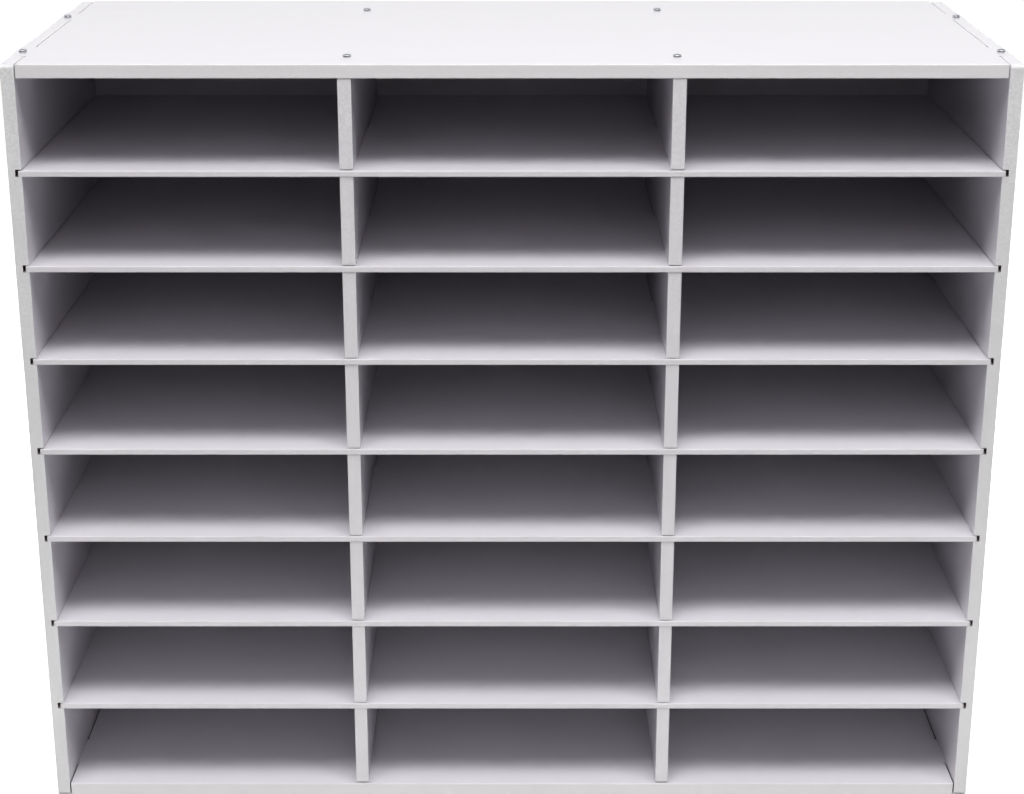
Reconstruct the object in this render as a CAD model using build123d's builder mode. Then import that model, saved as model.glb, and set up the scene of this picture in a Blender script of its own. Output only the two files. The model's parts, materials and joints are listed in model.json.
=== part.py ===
# A flat-pack document sorter of white painted board, three columns wide and eight rows high.
# Sizes are in millimetres. X runs across the front, Y from the front to the rear, and Z is up.
# The origin is on the floor under the middle of the case, and the open front faces -Y.

import os

from build123d import *

# Case
width = 880.0
depth = 368.0
height = 710.0
board = 12.0                # sides, top, bottom and uprights
corner_radius = 4.0         # corners of the side panels, seen from the side
arris_radius = 0.8          # eased edges that a hand can reach

# Tabs of the top and bottom, which lie in notches of the sides
tab_length = 50.0
front_tab_inset = 65.0      # from the front edge to the middle of the front tabs
rear_tab_inset = 106.0      # from the rear edge to the middle of the rear tabs
tab_clearance = 0.4         # at each end of a tab
end_gap = 1.0               # between the sides and the ends of the top and bottom
relief_diameter = 3.2       # cutter relief at the root of each tab

# Uprights, notched from the front for the shelves
upright_names = ("left_upright", "right_upright")
upright_setback = 1.0       # from the front of the case to the uprights' front edges
upright_foot_gap = 1.7      # open joint between an upright and the bottom panel
notch_clearance = 1.1       # open joint above a shelf in its notch

# Shelves, slotted from the rear round the uprights
shelf_count = 7
shelf_board = 5.5
shelf_end_gap = 2.6         # from a shelf's end to the bottom of its groove
shelf_rear_gap = 0.5        # from a shelf's rear edge to the back panel
slot_clearance = 1.3        # at each side of an upright
halving_depth = 183.0       # from the front to where the notches and slots meet
halving_clearance = 1.5     # between a notch's end and a slot's end

# Grooves of the sides, open at the front
groove_depth = 5.5
groove_clearance = 1.0      # above a shelf

# Back panel, held in grooves all round
back_board = 3.0
back_recess = 19.0          # from the back panel's rear face to the rear edge of the case
back_groove_depth = 5.0
back_groove_clearance = 0.3
back_edge_gap = 0.5         # from the back panel's sides and top edge to their grooves

# Pan-head screws
head_diameter = 7.7
head_height = 2.0
head_crown = 1.2
recess_span = 4.4           # cross recess
recess_width = 1.0
recess_depth = 1.3
shank_diameter = 4.0
screw_length = 38.0         # under the head
tip_length = 5.0
hole_clearance = 0.1        # all round a shank
hole_end_gap = 1.5          # past a screw's tip
counterbore_clearance = 0.5     # all round a head under the bottom panel
head_recess = 0.4           # from the floor up to those heads
upright_screw_inset = 40.0  # from the front of the case and from the back panel

# Places that follow from these sizes
front = -depth / 2
rear = depth / 2
inside_width = width - 2 * board
inside_height = height - 2 * board
back_front = rear - back_recess - back_board

upright_count = len(upright_names)
bay_width = (inside_width - upright_count * board) / (upright_count + 1)
upright_places = [(n - (upright_count - 1) / 2) * (bay_width + board) for n in range(upright_count)]

row_height = (inside_height - shelf_count * shelf_board) / (shelf_count + 1)
shelf_floors = [height - board - n * (row_height + shelf_board) for n in range(1, shelf_count + 1)]
shelf_length = inside_width + 2 * (groove_depth - shelf_end_gap)
shelf_rear = back_front - shelf_rear_gap
upright_front = front + upright_setback
notch_end = front + halving_depth + halving_clearance / 2
slot_start = front + halving_depth - halving_clearance / 2

tab_places = [front + front_tab_inset, rear - rear_tab_inset]
tab_screw_offset = (width - board) / 2
upright_screw_places = [front + upright_screw_inset, back_front - upright_screw_inset]

shank_hole_radius = shank_diameter / 2 + hole_clearance
pilot_depth = screw_length + hole_end_gap - board
counterbore_radius = head_diameter / 2 + counterbore_clearance
counterbore_depth = head_height + head_recess
bottom_pilot_depth = pilot_depth + counterbore_depth

os.makedirs("parts", exist_ok=True)


def write_part(piece, name):
    piece.part.label = name
    export_step(piece.part, f"parts/{name}.step")


def front_edges(piece, direction):
    return piece.edges().filter_by(direction).group_by(Axis.Y)[0]


def rear_edges(piece, direction):
    return piece.edges().filter_by(direction).group_by(Axis.Y)[-1]


def upward(x, y, z):
    return Location((x, y, z), (180, 0, 0))


# Side panels
with BuildPart() as left_side_panel:
    with BuildSketch(Plane.YZ.offset(-width / 2)):
        with Locations((0, height / 2)):
            RectangleRounded(depth, height, corner_radius)
    extrude(amount=board)
    standing_arrises = front_edges(left_side_panel, Axis.Z) + rear_edges(left_side_panel, Axis.Z)
    fillet(standing_arrises.group_by(Axis.X)[-1], arris_radius)
    fillet(left_side_panel.faces().sort_by(Axis.X)[0].edges(), arris_radius)
    with BuildSketch(Plane.YZ.offset(-width / 2)):
        with Locations([(y, z) for y in tab_places for z in (board / 2, height - board / 2)]):
            Rectangle(tab_length + 2 * tab_clearance, board)
    extrude(amount=board, mode=Mode.SUBTRACT)
    with BuildSketch(Plane.YZ.offset(-inside_width / 2)):
        with Locations([(front, floor) for floor in shelf_floors]):
            Rectangle(back_front - front, shelf_board + groove_clearance, align=(Align.MIN, Align.MIN))
    extrude(amount=-groove_depth, mode=Mode.SUBTRACT)
    with BuildSketch(Plane.YZ.offset(-inside_width / 2)):
        with Locations((back_front, height / 2)):
            Rectangle(
                back_board + back_groove_clearance,
                inside_height + 2 * back_groove_depth,
                align=(Align.MIN, Align.CENTER),
            )
    extrude(amount=-back_groove_depth, mode=Mode.SUBTRACT)
    with Locations([(-tab_screw_offset, y, height - board) for y in tab_places]):
        Hole(shank_hole_radius, pilot_depth)
    with Locations([upward(-tab_screw_offset, y, board) for y in tab_places]):
        Hole(shank_hole_radius, bottom_pilot_depth)
write_part(left_side_panel, "left_side_panel")

with BuildPart() as right_side_panel:
    mirror(left_side_panel.part, about=Plane.YZ)
write_part(right_side_panel, "right_side_panel")

# Top panel, between the sides, with its tabs out to their outer faces
panel_end = inside_width / 2 - end_gap
tab_edges = [y + half for y in tab_places for half in (-tab_length / 2, tab_length / 2)]
screw_places = [(side * tab_screw_offset, y) for side in (-1, 1) for y in tab_places]
screw_places += [(x, y) for x in upright_places for y in upright_screw_places]

with BuildPart() as top_panel:
    with BuildSketch(Plane.XY.offset(height - board)):
        Rectangle(2 * panel_end, depth)
        with Locations([(0, y) for y in tab_places]):
            Rectangle(width, tab_length)
        with Locations([(side * panel_end, y) for side in (-1, 1) for y in tab_edges]):
            Circle(relief_diameter / 2, mode=Mode.SUBTRACT)
    extrude(amount=board)
    fillet(front_edges(top_panel, Axis.X) + front_edges(top_panel, Axis.Z), arris_radius)
    fillet(rear_edges(top_panel, Axis.X) + rear_edges(top_panel, Axis.Z), arris_radius)
    with BuildSketch(Plane.XY.offset(height - board)):
        with Locations((0, back_front)):
            Rectangle(2 * panel_end, back_board + back_groove_clearance, align=(Align.CENTER, Align.MIN))
    extrude(amount=back_groove_depth, mode=Mode.SUBTRACT)
    with Locations([(x, y, height) for x, y in screw_places]):
        Hole(shank_hole_radius, board)
write_part(top_panel, "top_panel")

# Bottom panel, the same with its screw heads sunk so that the case stands flat
with BuildPart() as bottom_panel:
    mirror(top_panel.part, about=Plane.XY.offset(height / 2))
    with Locations([upward(x, y, 0) for x, y in screw_places]):
        Hole(counterbore_radius, counterbore_depth)
write_part(bottom_panel, "bottom_panel")

# Uprights
upright_foot = board + upright_foot_gap
for name, x in zip(upright_names, upright_places):
    with BuildPart() as upright:
        with BuildSketch(Plane.YZ.offset(x - board / 2)):
            with Locations((upright_front, upright_foot)):
                Rectangle(
                    back_front - upright_front,
                    height - board - upright_foot,
                    align=(Align.MIN, Align.MIN),
                )
        extrude(amount=board)
        fillet(front_edges(upright, Axis.Z), arris_radius)
        with BuildSketch(Plane.YZ.offset(x - board / 2)):
            with Locations([(upright_front, floor) for floor in shelf_floors]):
                Rectangle(
                    notch_end - upright_front,
                    shelf_board + notch_clearance,
                    align=(Align.MIN, Align.MIN),
                )
        extrude(amount=board, mode=Mode.SUBTRACT)
        with Locations([(x, y, height - board) for y in upright_screw_places]):
            Hole(shank_hole_radius, pilot_depth)
        with Locations([upward(x, y, upright_foot) for y in upright_screw_places]):
            Hole(shank_hole_radius, bottom_pilot_depth)
    write_part(upright, name)

# Shelves, counted from the top
for n, floor in enumerate(shelf_floors, start=1):
    with BuildPart() as shelf:
        with BuildSketch(Plane.XY.offset(floor)):
            with Locations((0, front)):
                Rectangle(shelf_length, shelf_rear - front, align=(Align.CENTER, Align.MIN))
            with Locations([(x, slot_start) for x in upright_places]):
                Rectangle(
                    board + 2 * slot_clearance,
                    shelf_rear - slot_start,
                    align=(Align.CENTER, Align.MIN),
                    mode=Mode.SUBTRACT,
                )
        extrude(amount=shelf_board)
        fillet(front_edges(shelf, Axis.X), arris_radius)
    write_part(shelf, f"shelf_{n}")

# Back panel, standing in the bottom panel's groove
with BuildPart() as back_panel:
    with Locations((0, back_front, board - back_groove_depth)):
        Box(
            inside_width + 2 * (back_groove_depth - back_edge_gap),
            back_board,
            inside_height + 2 * back_groove_depth - back_edge_gap,
            align=(Align.CENTER, Align.MIN, Align.MIN),
        )
write_part(back_panel, "back_panel")

# One screw, standing with the underside of its head at the origin
with BuildPart() as screw:
    with BuildSketch(Plane.XZ):
        with BuildLine():
            Polyline(
                (0, head_height),
                (head_diameter / 2, head_height),
                (head_diameter / 2, 0),
                (shank_diameter / 2, 0),
                (shank_diameter / 2, tip_length - screw_length),
                (0, -screw_length),
                close=True,
            )
        make_face()
    revolve(axis=Axis.Z)
    fillet(screw.edges().filter_by(GeomType.CIRCLE).group_by(Axis.Z)[-1], head_crown)
    with BuildSketch(Plane.XY.offset(head_height)):
        Rectangle(recess_span, recess_width)
        Rectangle(recess_width, recess_span)
    extrude(amount=-recess_depth, mode=Mode.SUBTRACT)

# Screws in pairs, one pair for each side panel and upright at the top and at the bottom
screw_rows = {
    "left_tab_screws": (-tab_screw_offset, tab_places),
    "right_tab_screws": (tab_screw_offset, tab_places),
    "left_upright_screws": (upright_places[0], upright_screw_places),
    "right_upright_screws": (upright_places[-1], upright_screw_places),
}
for name, (x, places) in screw_rows.items():
    with BuildPart() as top_screws:
        with Locations([(x, y, height) for y in places]):
            add(screw.part)
    write_part(top_screws, f"top_{name}")
    with BuildPart() as bottom_screws:
        with Locations([upward(x, y, counterbore_depth) for y in places]):
            add(screw.part)
    write_part(bottom_screws, f"bottom_{name}")
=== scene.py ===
import json
import math

import bpy
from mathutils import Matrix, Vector


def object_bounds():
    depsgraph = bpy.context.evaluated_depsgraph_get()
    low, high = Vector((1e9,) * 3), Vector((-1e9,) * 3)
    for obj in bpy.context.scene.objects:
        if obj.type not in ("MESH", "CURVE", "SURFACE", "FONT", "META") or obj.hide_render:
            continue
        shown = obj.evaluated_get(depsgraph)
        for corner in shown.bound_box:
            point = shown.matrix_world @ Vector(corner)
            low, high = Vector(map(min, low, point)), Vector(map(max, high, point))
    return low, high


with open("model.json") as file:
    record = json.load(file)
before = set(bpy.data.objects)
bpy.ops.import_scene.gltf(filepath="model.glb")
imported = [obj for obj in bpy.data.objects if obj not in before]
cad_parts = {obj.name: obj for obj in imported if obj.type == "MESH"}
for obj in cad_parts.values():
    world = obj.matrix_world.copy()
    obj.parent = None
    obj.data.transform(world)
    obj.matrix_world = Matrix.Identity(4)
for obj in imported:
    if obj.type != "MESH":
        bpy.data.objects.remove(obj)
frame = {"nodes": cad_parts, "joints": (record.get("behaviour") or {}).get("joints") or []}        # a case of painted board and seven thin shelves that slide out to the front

nodes = frame["nodes"]
cadLow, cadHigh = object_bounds()
scene = bpy.context.scene


def linear(hexText):
    # sRGB hex to linear RGBA
    values = [int(hexText[i:i + 2], 16) / 255 for i in (1, 3, 5)]
    return [v / 12.92 if v <= 0.04045 else ((v + 0.055) / 1.055) ** 2.4 for v in values] + [1.0]


mmPerMetre = 1000


def perMetre(mm):
    # texture scale for a pattern whose marks stand this many millimetres apart
    return mmPerMetre / mm


def addNode(tree, kind, settings=None, inputs=None):
    node = tree.nodes.new(kind)
    for name, value in (settings or {}).items():
        setattr(node, name, value)
    for name, value in (inputs or {}).items():
        if isinstance(value, bpy.types.NodeSocket):
            tree.links.new(value, node.inputs[name])
        else:
            node.inputs[name].default_value = value
    return node


# a Mix node has its own sockets for numbers and for colours
numberA, numberB, numberOut = 2, 3, 0
colourA, colourB, colourOut = 6, 7, 2
noiseLow, noiseHigh = 0.3, 0.7      # nearly all of a noise texture lies between these


def startMaterial(name):
    material = bpy.data.materials.new(name)
    material.use_nodes = True
    material.node_tree.nodes.clear()
    return material, material.node_tree


def dress(names, material):
    for name in names:
        for slot in nodes[name].material_slots:
            slot.material = material


# Semi-gloss alkyd paint sprayed on fibreboard. The faces dry to an even white with a low orange peel,
# smooth enough to mirror dimly at a flat angle.
# Sawn edges take a second coat, so they are a shade lighter, but duller and pebbled by the fibres.
boardPaint = {
    "faceTurn": (0.6, 0.95),    # normal's share along faceAxes, from the sawn edges to the faces
    "face": "#E6E3E9",
    "faceShade": "#E2DFE5",     # where the coat is thinner
    "cloudMm": 160,             # spray passes
    "peelMm": 3.5,
    "peelDepthMm": 0.012,
    "pebbleMm": 2.6,
    "pebbleCut": (0.4, 0.6),    # band of the noise that swells into pebbles
    "patchMm": 38,              # the pebbles come and go
    "patchLow": 0.3,            # of their height, between the patches
    "pebbleRise": (0.40, 0.66),     # metres up, between which they grow to their full height
    "lowPebble": 0.25,          # of that height, lower down
    "roughness": (0.14, 0.20),
    "edgeRoughness": (0.34, 0.44),
    "ior": 1.5,
}
sidePaint = {
    **boardPaint,
    "name": "semiGlossPaintSprayedOnFibreboardSides",
    "boards": ["left_side_panel", "right_side_panel"],
    "faceAxes": (1, 0, 1),      # the top edges are sanded as smooth as the faces
    "edge": "#F1F0F1",
    "edgeShade": "#E4E3E4",
    "pebbleDepthMm": 0.085,
    "paintedCreviceShade": "#5C4E43",          # painted shade: a dark brown on the walls of the grooves and of the bottom joint
    "grooveMiddle": (0.434, 0.355),     # metres out and up to the middle of the board that the grooves cut
    "grooveReach": (0.005, 0.325),      # and from there each way
    "jointMiddle": (0.428, 0.0057),     # the same for the joint with the bottom panel
    "jointReach": (0.0005, 0.006),
    "frontTilt": 0.3,           # a surface that leans this far to the front or rear gets no painted shade
    "floorTilt": 0.5,           # and neither does one that leans this far up
}
lyingPaint = {
    **boardPaint,
    "name": "semiGlossPaintSprayedOnFibreboardTopAndBottom",
    "boards": ["top_panel", "bottom_panel"],
    "faceAxes": (0, 0, 1),
    "edge": "#EEECED",
    "edgeShade": "#EBE9EA",
    "pebbleDepthMm": 0.012,
}
uprightPaint = {
    **boardPaint,
    "name": "semiGlossPaintSprayedOnFibreboardUprights",
    "boards": ["left_upright", "right_upright"],
    "faceAxes": (1, 0, 0),
    "edge": "#EFECEF",
    "edgeShade": "#E5E2E5",
    "pebbleDepthMm": 0.04,
}
shelfPaint = {
    **boardPaint,
    "name": "semiGlossPaintSprayedOnThinFibreboard",
    "boards": [joint["child"] for joint in frame["joints"]],
    "faceAxes": (0, 0, 1),
    "edge": "#E7E4E7",          # one coat on these thin edges
    "edgeShade": "#E4E1E4",
    "pebbleMm": 2.2,
    "pebbleDepthMm": 0.01,
}


def sprayedPaint(look):
    material, tree = startMaterial(look["name"])
    place = addNode(tree, "ShaderNodeTexCoord")
    spot = place.outputs["Object"]

    # 1 on the board's smooth faces, 0 on its sawn edges
    along = addNode(tree, "ShaderNodeVectorMath", {"operation": "MULTIPLY"},
                    {0: place.outputs["Normal"], 1: look["faceAxes"]}).outputs[0]
    share = addNode(tree, "ShaderNodeVectorMath", {"operation": "LENGTH"}, {0: along}).outputs["Value"]
    edgeTurn, faceTurn = look["faceTurn"]
    onFace = addNode(tree, "ShaderNodeMapRange", None,
                     {"Value": share, "From Min": edgeTurn, "From Max": faceTurn}).outputs["Result"]

    cloud = addNode(tree, "ShaderNodeTexNoise", None,
                    {"Vector": spot, "Scale": perMetre(look["cloudMm"]), "Detail": 3.0}).outputs["Fac"]
    peel = addNode(tree, "ShaderNodeTexNoise", None,
                   {"Vector": spot, "Scale": perMetre(look["peelMm"]), "Detail": 1.0}).outputs["Fac"]
    grain = addNode(tree, "ShaderNodeTexNoise", None,
                    {"Vector": spot, "Scale": perMetre(look["pebbleMm"]), "Detail": 2.0}).outputs["Fac"]
    patch = addNode(tree, "ShaderNodeTexNoise", None,
                    {"Vector": spot, "Scale": perMetre(look["patchMm"]), "Detail": 2.0}).outputs["Fac"]
    cutLow, cutHigh = look["pebbleCut"]
    lumps = addNode(tree, "ShaderNodeMapRange", None,
                    {"Value": grain, "From Min": cutLow, "From Max": cutHigh}).outputs["Result"]
    strength = addNode(tree, "ShaderNodeMapRange", None,
                       {"Value": patch, "From Min": noiseLow, "From Max": noiseHigh,
                        "To Min": look["patchLow"]}).outputs["Result"]
    patches = addNode(tree, "ShaderNodeMath", {"operation": "MULTIPLY"}, {0: lumps, 1: strength}).outputs[0]
    up = addNode(tree, "ShaderNodeSeparateXYZ", None, {0: spot}).outputs["Z"]
    riseStart, riseEnd = look["pebbleRise"]
    growth = addNode(tree, "ShaderNodeMapRange", None,
                     {"Value": up, "From Min": riseStart, "From Max": riseEnd,
                      "To Min": look["lowPebble"]}).outputs["Result"]
    pebble = addNode(tree, "ShaderNodeMath", {"operation": "MULTIPLY"}, {0: patches, 1: growth}).outputs[0]

    faceColour = addNode(tree, "ShaderNodeMix", {"data_type": "RGBA"},
                         {"Factor": cloud, colourA: linear(look["face"]),
                          colourB: linear(look["faceShade"])}).outputs[colourOut]
    edgeColour = addNode(tree, "ShaderNodeMix", {"data_type": "RGBA"},
                         {"Factor": pebble, colourA: linear(look["edgeShade"]),
                          colourB: linear(look["edge"])}).outputs[colourOut]
    colour = addNode(tree, "ShaderNodeMix", {"data_type": "RGBA"},
                     {"Factor": onFace, colourA: edgeColour, colourB: faceColour}).outputs[colourOut]
    if "paintedCreviceShade" in look:
        # painted shade: the walls and tops of the grooves and of the bottom joint are given a dark brown, and
        # their floors keep the white
        outUp = addNode(tree, "ShaderNodeVectorMath", {"operation": "ABSOLUTE"}, {0: spot}).outputs[0]
        distance = addNode(tree, "ShaderNodeSeparateXYZ", None, {0: outUp}).outputs
        normal = addNode(tree, "ShaderNodeSeparateXYZ", None, {0: place.outputs["Normal"]}).outputs
        frontOrRear = addNode(tree, "ShaderNodeMath", {"operation": "ABSOLUTE"}, {0: normal["Y"]}).outputs[0]
        creviceZones = []
        for middle, reach in (("grooveMiddle", "grooveReach"), ("jointMiddle", "jointReach")):
            inBoard = addNode(tree, "ShaderNodeMath", {"operation": "COMPARE"},
                              {0: distance["X"], 1: look[middle][0], 2: look[reach][0]}).outputs[0]
            inHeight = addNode(tree, "ShaderNodeMath", {"operation": "COMPARE"},
                               {0: distance["Z"], 1: look[middle][1], 2: look[reach][1]}).outputs[0]
            creviceZones.append(addNode(tree, "ShaderNodeMath", {"operation": "MULTIPLY"},
                                  {0: inBoard, 1: inHeight}).outputs[0])
        creviceMask = addNode(tree, "ShaderNodeMath", {"operation": "MAXIMUM"},
                            {0: creviceZones[0], 1: creviceZones[1]}).outputs[0]
        notFront = addNode(tree, "ShaderNodeMath", {"operation": "LESS_THAN"},
                           {0: frontOrRear, 1: look["frontTilt"]}).outputs[0]
        notFloor = addNode(tree, "ShaderNodeMath", {"operation": "LESS_THAN"},
                           {0: normal["Z"], 1: look["floorTilt"]}).outputs[0]
        wall = addNode(tree, "ShaderNodeMath", {"operation": "MULTIPLY"},
                       {0: notFront, 1: notFloor}).outputs[0]
        paintedCreviceShade = addNode(tree, "ShaderNodeMath", {"operation": "MULTIPLY"},
                       {0: creviceMask, 1: wall}).outputs[0]
        colour = addNode(tree, "ShaderNodeMix", {"data_type": "RGBA"},
                         {"Factor": paintedCreviceShade, colourA: colour, colourB: linear(look["paintedCreviceShade"])}).outputs[colourOut]

    smooth, dull = look["roughness"]
    edgeSmooth, edgeDull = look["edgeRoughness"]
    faceRough = addNode(tree, "ShaderNodeMapRange", None,
                        {"Value": cloud, "From Min": noiseLow, "From Max": noiseHigh,
                         "To Min": smooth, "To Max": dull})
    edgeRough = addNode(tree, "ShaderNodeMapRange", None,
                        {"Value": pebble, "To Min": edgeSmooth, "To Max": edgeDull})
    roughness = addNode(tree, "ShaderNodeMix", {"data_type": "FLOAT"},
                        {"Factor": onFace, numberA: edgeRough.outputs["Result"],
                         numberB: faceRough.outputs["Result"]}).outputs[numberOut]

    peelHeight = addNode(tree, "ShaderNodeMath", {"operation": "MULTIPLY"},
                         {0: peel, 1: look["peelDepthMm"] / mmPerMetre}).outputs[0]
    pebbleHeight = addNode(tree, "ShaderNodeMath", {"operation": "MULTIPLY"},
                           {0: pebble, 1: look["pebbleDepthMm"] / mmPerMetre}).outputs[0]
    height = addNode(tree, "ShaderNodeMix", {"data_type": "FLOAT"},
                     {"Factor": onFace, numberA: pebbleHeight, numberB: peelHeight}).outputs[numberOut]
    bump = addNode(tree, "ShaderNodeBump", None, {"Height": height, "Distance": 1.0}).outputs["Normal"]

    paint = addNode(tree, "ShaderNodeBsdfPrincipled", None,
                    {"Base Color": colour, "Roughness": roughness, "IOR": look["ior"], "Normal": bump})
    addNode(tree, "ShaderNodeOutputMaterial", None, {"Surface": paint.outputs["BSDF"]})
    return material


for look in (sidePaint, lyingPaint, uprightPaint, shelfPaint):
    dress(look["boards"], sprayedPaint(look))
print("painted boards dressed")

# Hardboard with a white lacquered face. Its front is as even as the boards.
# Its rear keeps the print of the wire screen it was pressed on, under a thinner coat.
backBoard = {
    "name": "whiteLacqueredHardboard",
    "face": "#E4E1E7",
    "faceShade": "#E0DDE3",
    "rear": "#DFDDDC",
    "rearShade": "#D0CCC8",
    "cloudMm": 120,
    "screenMm": 2.4,            # the wires are finer, drawn coarser so that they show
    "screenDepthMm": 0.06,
    "rearTilt": 0.5,            # a surface that leans this far back is its rear
    "roughness": 0.45,
    "ior": 1.5,
}


def lacqueredHardboard(look):
    material, tree = startMaterial(look["name"])
    place = addNode(tree, "ShaderNodeTexCoord")
    spot = place.outputs["Object"]
    rearward = addNode(tree, "ShaderNodeSeparateXYZ", None, {0: place.outputs["Normal"]}).outputs["Y"]
    onRear = addNode(tree, "ShaderNodeMath", {"operation": "GREATER_THAN"},
                     {0: rearward, 1: look["rearTilt"]}).outputs[0]
    cloud = addNode(tree, "ShaderNodeTexNoise", None,
                    {"Vector": spot, "Scale": perMetre(look["cloudMm"]), "Detail": 5.0}).outputs["Fac"]
    face = addNode(tree, "ShaderNodeMix", {"data_type": "RGBA"},
                   {"Factor": cloud, colourA: linear(look["face"]),
                    colourB: linear(look["faceShade"])}).outputs[colourOut]
    rear = addNode(tree, "ShaderNodeMix", {"data_type": "RGBA"},
                   {"Factor": cloud, colourA: linear(look["rear"]),
                    colourB: linear(look["rearShade"])}).outputs[colourOut]
    colour = addNode(tree, "ShaderNodeMix", {"data_type": "RGBA"},
                     {"Factor": onRear, colourA: face, colourB: rear}).outputs[colourOut]
    # a sine band of Blender's wave texture repeats every pi / 10 of its scaled length
    bandScale = perMetre(look["screenMm"]) * math.pi / 10
    wires = [addNode(tree, "ShaderNodeTexWave", {"bands_direction": axis},
                     {"Vector": spot, "Scale": bandScale}).outputs["Fac"] for axis in ("X", "Z")]
    screen = addNode(tree, "ShaderNodeMath", {"operation": "MULTIPLY"}, {0: wires[0], 1: wires[1]}).outputs[0]
    depth = addNode(tree, "ShaderNodeMath", {"operation": "MULTIPLY"},
                    {0: onRear, 1: look["screenDepthMm"] / mmPerMetre}).outputs[0]
    height = addNode(tree, "ShaderNodeMath", {"operation": "MULTIPLY"}, {0: screen, 1: depth}).outputs[0]
    bump = addNode(tree, "ShaderNodeBump", None, {"Height": height, "Distance": 1.0}).outputs["Normal"]
    lacquer = addNode(tree, "ShaderNodeBsdfPrincipled", None,
                      {"Base Color": colour, "Roughness": look["roughness"], "IOR": look["ior"],
                       "Normal": bump})
    addNode(tree, "ShaderNodeOutputMaterial", None, {"Surface": lacquer.outputs["BSDF"]})
    return material


dress(["back_panel"], lacqueredHardboard(backBoard))
print("back panel dressed")

# Bright zinc plate on steel screws: a pale bluish metal with a soft, slightly cloudy shine.
screwPlate = {
    "name": "brightZincPlatedSteel",
    "zinc": "#B2B4B8",
    "zincShade": "#909296",
    "cloudMm": 1.6,
    "roughness": (0.24, 0.42),
}


def zincPlate(look):
    material, tree = startMaterial(look["name"])
    spot = addNode(tree, "ShaderNodeTexCoord").outputs["Object"]
    cloud = addNode(tree, "ShaderNodeTexNoise", None,
                    {"Vector": spot, "Scale": perMetre(look["cloudMm"]), "Detail": 4.0}).outputs["Fac"]
    colour = addNode(tree, "ShaderNodeMix", {"data_type": "RGBA"},
                     {"Factor": cloud, colourA: linear(look["zinc"]),
                      colourB: linear(look["zincShade"])}).outputs[colourOut]
    bright, dull = look["roughness"]
    roughness = addNode(tree, "ShaderNodeMapRange", None,
                        {"Value": cloud, "From Min": noiseLow, "From Max": noiseHigh,
                         "To Min": bright, "To Max": dull}).outputs["Result"]
    plate = addNode(tree, "ShaderNodeBsdfPrincipled", None,
                    {"Base Color": colour, "Metallic": 1.0, "Roughness": roughness})
    addNode(tree, "ShaderNodeOutputMaterial", None, {"Surface": plate.outputs["BSDF"]})
    return material


dress([name for name in nodes if name.endswith("_screws")], zincPlate(screwPlate))
print("screws dressed")

# Matt white paper under the sorter, which ends on a grey studio floor.
# To the eye it is white, but for the sorter's shadow and the ground right under it.
paperFloor = {
    "name": "mattWhitePaper",
    "paper": "#EBEBEB",
    "studioFloor": "#7A7A7C",
    "size": 14.0,
    "paperReach": (0.8, 1.3),   # metres from the sorter over which the paper ends
    "shadowReach": 0.5,         # metres from the sorter to where the floor is pure white
    "nearLift": 0.6,            # of that white, close to the sorter
    "liftFrom": 0.0005,         # metres from the sorter, so that none of it shows in the joints underneath
}
# A dim room with a white backdrop behind the sorter. Three soft boxes hang high in front.
# Weaker ones fill the rows from lower down, and light the paper, both sides and the rear.
studio = {
    "room": "#FFE6F4",
    "roomStrength": 0.012,
    "backdrop": "#FFFFFF",
    "backdropEdge": (-0.25, 0.15),      # how far back a mirrored ray heads, from the dim side to the backdrop
    "frontView": 0.18,          # the dim side of the room, as metal and gloss mirror it
    "spread": 180,              # degrees, of a lamp that has none of its own
    "lamps": {
        "leftFrontBox": {
            "place": (-1.8, -1.81, 4.63),
            "aim": (0.0, -0.10, 0.40),
            "size": (2.4, 1.95),
            "power": 106.0,
        },
        "rightFrontBox": {
            "place": (2.4, -1.81, 4.63),
            "aim": (0.0, -0.10, 0.40),
            "size": (1.2, 1.95),
            "power": 33.5,
        },
        "nearBox": {
            "place": (0.45, -1.20, 2.75),
            "aim": (0.0, -0.10, 0.40),
            "size": (1.8, 1.0),
            "power": 37.5,
        },
        "lowBox": {
            "place": (0.0, -2.60, 2.60),
            "aim": (0.0, -0.10, 0.30),
            "size": (1.0, 1.0),
            "power": 5.0,
        },
        "paperBox": {
            "place": (0.0, -0.40, 1.30),
            "aim": (0.0, -0.40, 0.0),
            "size": (2.0, 0.25),
            "power": 0.52,
            "spread": 8,
            "paperAlone": True,     # a shelf drawn out under it takes none of its light
        },
        "leftBox": {
            "place": (-2.2, 1.3, 0.55),
            "aim": (-0.44, 0.0, 0.36),
            "size": (2.4, 1.0),
            "power": 19.0,
        },
        "rightBox": {
            "place": (2.2, 1.3, 0.55),
            "aim": (0.44, 0.0, 0.36),
            "size": (2.4, 1.0),
            "power": 19.0,
        },
        "rearBox": {
            "place": (-0.2, 2.3, 0.42),
            "aim": (0.0, 0.18, 0.36),
            "size": (2.4, 0.5),
            "power": 27.0,
        },
    },
}


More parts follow.
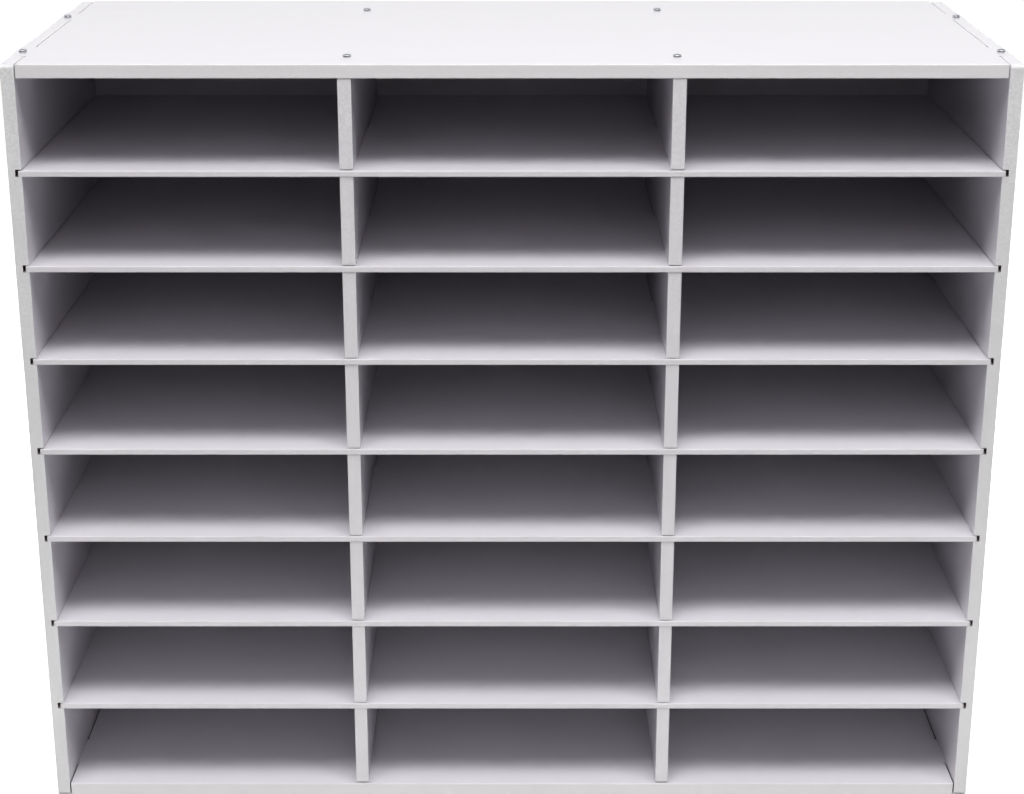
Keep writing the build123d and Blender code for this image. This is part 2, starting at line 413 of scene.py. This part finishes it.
def paperMaterial(look):
    material, tree = startMaterial(look["name"])
    spot = addNode(tree, "ShaderNodeNewGeometry").outputs["Position"]
    apart = addNode(tree, "ShaderNodeVectorMath", {"operation": "ABSOLUTE"}, {0: spot}).outputs[0]
    past = addNode(tree, "ShaderNodeVectorMath", {"operation": "SUBTRACT"},
                   {0: apart, 1: (cadHigh.x, cadHigh.y, 0)}).outputs[0]
    outside = addNode(tree, "ShaderNodeVectorMath", {"operation": "MAXIMUM"},
                      {0: past, 1: (0, 0, 0)}).outputs[0]
    away = addNode(tree, "ShaderNodeVectorMath", {"operation": "LENGTH"}, {0: outside}).outputs["Value"]

    reachStart, reachEnd = look["paperReach"]
    paperEnd = addNode(tree, "ShaderNodeMapRange", {"interpolation_type": "SMOOTHSTEP"},
                       {"Value": away, "From Min": reachStart, "From Max": reachEnd}).outputs[0]
    paperTone, floorTone = linear(look["paper"]), linear(look["studioFloor"])
    colour = addNode(tree, "ShaderNodeMix", {"data_type": "RGBA"},
                     {"Factor": paperEnd, colourA: paperTone, colourB: floorTone}).outputs[colourOut]
    paper = addNode(tree, "ShaderNodeBsdfDiffuse", None, {"Color": colour}).outputs[0]

    # white for what the camera sees, straight or in metal, and no light on the sorter
    ray = addNode(tree, "ShaderNodeLightPath").outputs
    mirrored = addNode(tree, "ShaderNodeMath", {"operation": "MAXIMUM"},
                       {0: ray["Is Glossy Ray"], 1: ray["Is Transmission Ray"]}).outputs[0]
    seen = addNode(tree, "ShaderNodeMath", {"operation": "MAXIMUM"},
                   {0: ray["Is Camera Ray"], 1: mirrored}).outputs[0]
    lift = addNode(tree, "ShaderNodeMapRange", {"interpolation_type": "SMOOTHSTEP"},
                   {"Value": away, "From Max": look["shadowReach"], "To Min": look["nearLift"]}).outputs[0]
    clear = addNode(tree, "ShaderNodeMath", {"operation": "GREATER_THAN"},
                    {0: away, 1: look["liftFrom"]}).outputs[0]
    openLift = addNode(tree, "ShaderNodeMath", {"operation": "MULTIPLY"}, {0: lift, 1: clear}).outputs[0]
    strength = addNode(tree, "ShaderNodeMath", {"operation": "MULTIPLY"}, {0: openLift, 1: seen}).outputs[0]
    glow = addNode(tree, "ShaderNodeEmission", None, {"Strength": strength}).outputs[0]
    both = addNode(tree, "ShaderNodeAddShader", None, {0: paper, 1: glow}).outputs[0]
    addNode(tree, "ShaderNodeOutputMaterial", None, {"Surface": both})
    return material


def roomWorld(look):
    world = bpy.data.worlds.new("studioRoom")
    world.use_nodes = True
    tree = world.node_tree
    tree.nodes.clear()
    ray = addNode(tree, "ShaderNodeLightPath").outputs
    mirrored = addNode(tree, "ShaderNodeMath", {"operation": "MAXIMUM"},
                       {0: ray["Is Glossy Ray"], 1: ray["Is Transmission Ray"]}).outputs[0]

    # the backdrop fills what lies behind the sorter
    heading = addNode(tree, "ShaderNodeTexCoord").outputs["Generated"]
    rearward = addNode(tree, "ShaderNodeSeparateXYZ", None, {0: heading}).outputs["Y"]
    dimEnd, backdropStart = look["backdropEdge"]
    mirroredView = addNode(tree, "ShaderNodeMapRange", {"interpolation_type": "SMOOTHSTEP"},
                           {"Value": rearward, "From Min": dimEnd, "From Max": backdropStart,
                            "To Min": look["frontView"]}).outputs[0]
    backdrop = linear(look["backdrop"])
    roomLight = addNode(tree, "ShaderNodeBackground", None,
                        {"Color": linear(look["room"]), "Strength": look["roomStrength"]}).outputs[0]
    mirroredLight = addNode(tree, "ShaderNodeBackground", None,
                            {"Color": backdrop, "Strength": mirroredView}).outputs[0]
    white = addNode(tree, "ShaderNodeBackground", None, {"Color": backdrop}).outputs[0]
    light = addNode(tree, "ShaderNodeMixShader", None,
                    {0: mirrored, 1: roomLight, 2: mirroredLight}).outputs[0]
    view = addNode(tree, "ShaderNodeMixShader", None,
                   {0: ray["Is Camera Ray"], 1: light, 2: white}).outputs[0]
    addNode(tree, "ShaderNodeOutputWorld", None, {"Surface": view})
    return world


half = paperFloor["size"] / 2
floorMesh = bpy.data.meshes.new("paperFloor")
floorCorners = [(-half, -half, 0), (half, -half, 0), (half, half, 0), (-half, half, 0)]
floorMesh.from_pydata(floorCorners, [], [(0, 1, 2, 3)])
floorMesh.materials.append(paperMaterial(paperFloor))
floor = bpy.data.objects.new("paperFloor", floorMesh)
scene.collection.objects.link(floor)

scene.world = roomWorld(studio)
for name, lamp in studio["lamps"].items():
    panel = bpy.data.lights.new(name, "AREA")
    panel.shape = "RECTANGLE"
    panel.size, panel.size_y = lamp["size"]
    panel.energy = lamp["power"]
    panel.spread = math.radians(lamp.get("spread", studio["spread"]))
    stand = bpy.data.objects.new(name, panel)
    stand.location = lamp["place"]
    stand.rotation_euler = (Vector(lamp["aim"]) - stand.location).to_track_quat("-Z", "Y").to_euler()
    stand.visible_camera = False
    scene.collection.objects.link(stand)
    if "paperAlone" in lamp:
        lit = bpy.data.collections.new(name + "Receivers")
        lit.objects.link(floor)
        stand.light_linking.receiver_collection = lit
print("floor and light set")

# Camera at the photograph's place: straight in front of the open side, above the top, looking down
photoCamera = {
    "lens": 72.9,               # mm, with a sensor 36 mm wide
    "sensor": 36.0,
    "before": 1.7729,           # metres from the front of the case
    "height": 1.0253,
    "down": 19.19,              # degrees below the horizon
}
cameraData = bpy.data.cameras.new("photoCamera")
cameraData.sensor_fit = "HORIZONTAL"
cameraData.sensor_width = photoCamera["sensor"]
cameraData.lens = photoCamera["lens"]
camera = bpy.data.objects.new("photoCamera", cameraData)
camera.location = (0, cadLow.y - photoCamera["before"], photoCamera["height"])
camera.rotation_euler = (math.radians(90 - photoCamera["down"]), 0, 0)
scene.collection.objects.link(camera)
scene.camera = camera
scene.view_settings.view_transform = "Standard"
print("camera set")
